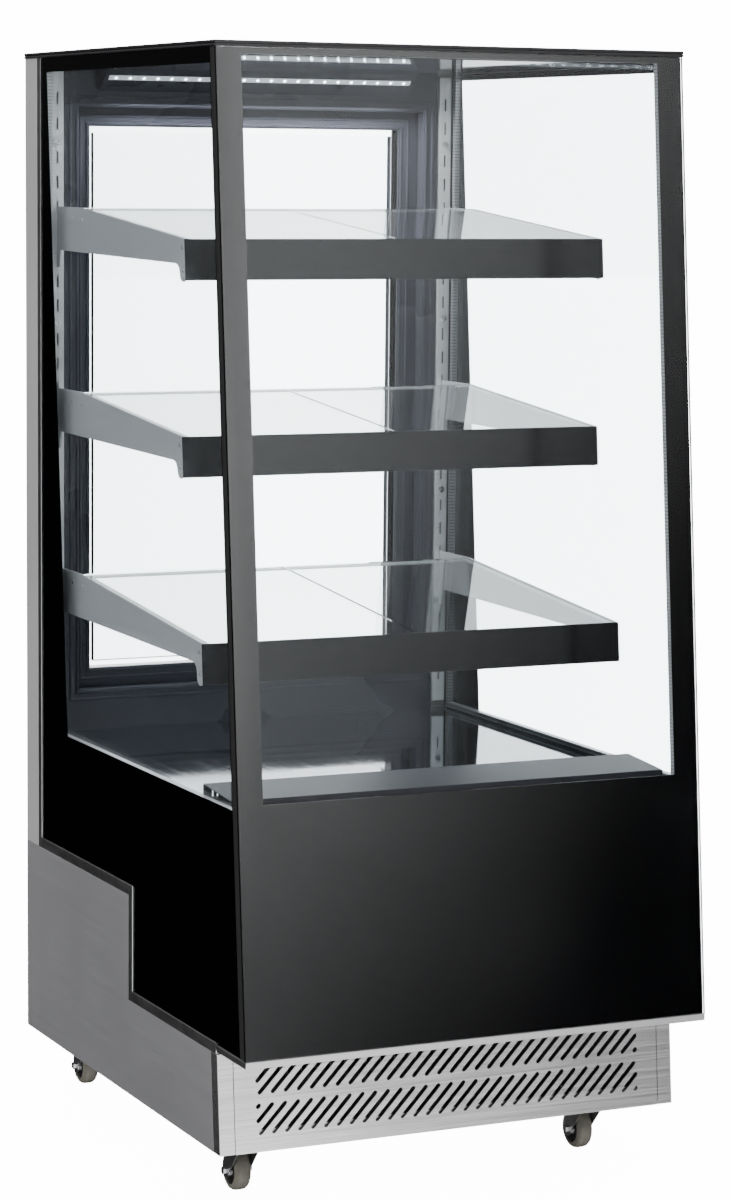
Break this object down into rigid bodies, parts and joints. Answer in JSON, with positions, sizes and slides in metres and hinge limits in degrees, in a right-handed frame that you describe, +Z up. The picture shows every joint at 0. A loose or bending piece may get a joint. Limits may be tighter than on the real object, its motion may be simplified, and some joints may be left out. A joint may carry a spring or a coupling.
{
  "type": "bakery display case",
  "caption": "Upright glass-fronted bakery display case with a leaning front, tilted glass shelves, a hinged rear door and a slotted plinth on swivel castors.",
  "frame": {"origin": "on the floor under the middle of the overall box", "axes": "+Z up, -Y towards the leaning glass front, +X to the right seen from the front"},
  "size_m": [0.6, 0.745, 1.35],
  "materials": {
    "stainless_side": "satin",
    "stainless_front": "satin",
    "stainless_trim": "satin",
    "galvanised_pan": "matte",
    "black_cover": "gloss",
    "ceiling_gloss": "gloss",
    "anthracite_surround": "satin",
    "anthracite_door": "satin",
    "well_liner": "satin",
    "clear_glass": "clear",
    "door_pane": "clear",
    "shelf_pane": "clear",
    "spacer_aluminium": "satin",
    "black_sealant": "matte",
    "black_print": "gloss",
    "standard_steel": "satin",
    "screw_steel": "gloss",
    "deck_steel": "satin",
    "riser_steel": "satin",
    "light_lens": "satin",
    "compressor_black": "satin",
    "coil_fins": "satin",
    "drain_plastic": "matte",
    "control_plastic": "matte",
    "black_nylon": "satin",
    "castor_zinc": "satin",
    "castor_rubber": "matte",
    "gasket_rubber": "matte",
    "bracket_steel": "satin",
    "rail_gloss": "gloss",
    "fan_plastic": "satin"
  },
  "bodies": {
    "cabinet": {"base_pan": "galvanised_pan", "base_side_left": "stainless_side", "base_side_right": "stainless_side", "base_corners": "stainless_side", "front_grille": "stainless_front", "service_panel": "stainless_front", "rear_panels": "stainless_front", "glazing_trim": "stainless_trim", "front_sill": "stainless_front", "rear_posts": "stainless_side", "top_cover": "black_cover", "ceiling_panel": "ceiling_gloss", "door_surround": "anthracite_surround", "insulated_well": "well_liner", "front_glass": "clear_glass", "side_glass_left": "clear_glass", "side_glass_right": "clear_glass", "glass_spacers": "spacer_aluminium", "edge_seals": "black_sealant", "glass_prints": "black_print", "pilasters": "standard_steel", "pilaster_screws": "screw_steel", "deck_pans": "deck_steel", "air_riser": "riser_steel", "top_light": "light_lens", "compressor": "compressor_black", "condenser": "coil_fins", "fan_shroud": "galvanised_pan", "evaporator": "coil_fins", "drain_tray": "drain_plastic", "control_panel": "control_plastic", "cord_gland": "black_nylon", "castor_plates": "castor_zinc", "hinge_pins": "castor_zinc"},
    "rear_door": {"door_frame": "anthracite_door", "door_glass": "door_pane", "door_gasket": "gasket_rubber", "door_pull": "stainless_trim"},
    "shelf_1": {"shelf_1_brackets": "bracket_steel", "shelf_1_glass": "shelf_pane", "shelf_1_rail": "rail_gloss"},
    "shelf_2": {"shelf_2_brackets": "bracket_steel", "shelf_2_glass": "shelf_pane", "shelf_2_rail": "rail_gloss"},
    "shelf_3": {"shelf_3_brackets": "bracket_steel", "shelf_3_glass": "shelf_pane", "shelf_3_rail": "rail_gloss"},
    "fork_fl": {"castor_fork_fl": "castor_zinc"},
    "wheel_fl": {"castor_wheel_fl": "castor_rubber"},
    "fork_fr": {"castor_fork_fr": "castor_zinc"},
    "wheel_fr": {"castor_wheel_fr": "castor_rubber"},
    "fork_rl": {"castor_fork_rl": "castor_zinc"},
    "wheel_rl": {"castor_wheel_rl": "castor_rubber"},
    "fork_rr": {"castor_fork_rr": "castor_zinc"},
    "wheel_rr": {"castor_wheel_rr": "castor_rubber"},
    "condenser_rotor": {"condenser_fan": "fan_plastic"},
    "evaporator_rotor": {"evaporator_fan": "fan_plastic"},
    "power_rocker": {"power_switch": "black_nylon"},
    "light_rocker": {"light_switch": "black_nylon"}
  },
  "joints": [
    {"name": "rear_door_hinge", "type": "hinge", "parent": "cabinet", "child": "rear_door", "pos_m": [0.25, 0.3625, 0.9], "axis": [0, 0, -1], "range_deg": [0, 105]},
    {"name": "shelf_1_lift", "type": "slide", "parent": "cabinet", "child": "shelf_1", "axis": [0, 0, 1], "range_m": [0, 0.007]},
    {"name": "shelf_2_lift", "type": "slide", "parent": "cabinet", "child": "shelf_2", "axis": [0, 0, 1], "range_m": [0, 0.007]},
    {"name": "shelf_3_lift", "type": "slide", "parent": "cabinet", "child": "shelf_3", "axis": [0, 0, 1], "range_m": [0, 0.007]},
    {"name": "castor_fl_swivel", "type": "hinge", "parent": "cabinet", "child": "fork_fl", "pos_m": [-0.23, -0.2045, 0.07], "axis": [0, 0, 1], "continuous": true},
    {"name": "castor_fl_roll", "type": "hinge", "parent": "fork_fl", "child": "wheel_fl", "pos_m": [-0.23, -0.1835, 0.025], "axis": [1, 0, 0], "continuous": true},
    {"name": "castor_fr_swivel", "type": "hinge", "parent": "cabinet", "child": "fork_fr", "pos_m": [0.23, -0.2045, 0.07], "axis": [0, 0, 1], "continuous": true},
    {"name": "castor_fr_roll", "type": "hinge", "parent": "fork_fr", "child": "wheel_fr", "pos_m": [0.23, -0.1835, 0.025], "axis": [1, 0, 0], "continuous": true},
    {"name": "castor_rl_swivel", "type": "hinge", "parent": "cabinet", "child": "fork_rl", "pos_m": [-0.23, 0.3155, 0.07], "axis": [0, 0, 1], "continuous": true},
    {"name": "castor_rl_roll", "type": "hinge", "parent": "fork_rl", "child": "wheel_rl", "pos_m": [-0.23, 0.3365, 0.025], "axis": [1, 0, 0], "continuous": true},
    {"name": "castor_rr_swivel", "type": "hinge", "parent": "cabinet", "child": "fork_rr", "pos_m": [0.23, 0.3155, 0.07], "axis": [0, 0, 1], "continuous": true},
    {"name": "castor_rr_roll", "type": "hinge", "parent": "fork_rr", "child": "wheel_rr", "pos_m": [0.23, 0.3365, 0.025], "axis": [1, 0, 0], "continuous": true},
    {"name": "condenser_fan_spin", "type": "hinge", "parent": "cabinet", "child": "condenser_rotor", "pos_m": [0, 0.091, 0.1795], "axis": [0, 1, 0], "continuous": true},
    {"name": "evaporator_fan_spin", "type": "hinge", "parent": "cabinet", "child": "evaporator_rotor", "pos_m": [0, -0.1075, 0.309], "axis": [0, 1, 0], "continuous": true},
    {"name": "power_switch_rock", "type": "hinge", "parent": "cabinet", "child": "power_rocker", "pos_m": [0.128, 0.3605, 0.407], "axis": [1, 0, 0], "range_deg": [0, 12]},
    {"name": "light_switch_rock", "type": "hinge", "parent": "cabinet", "child": "light_rocker", "pos_m": [0.168, 0.3605, 0.407], "axis": [1, 0, 0], "range_deg": [0, 12]}
  ]
}
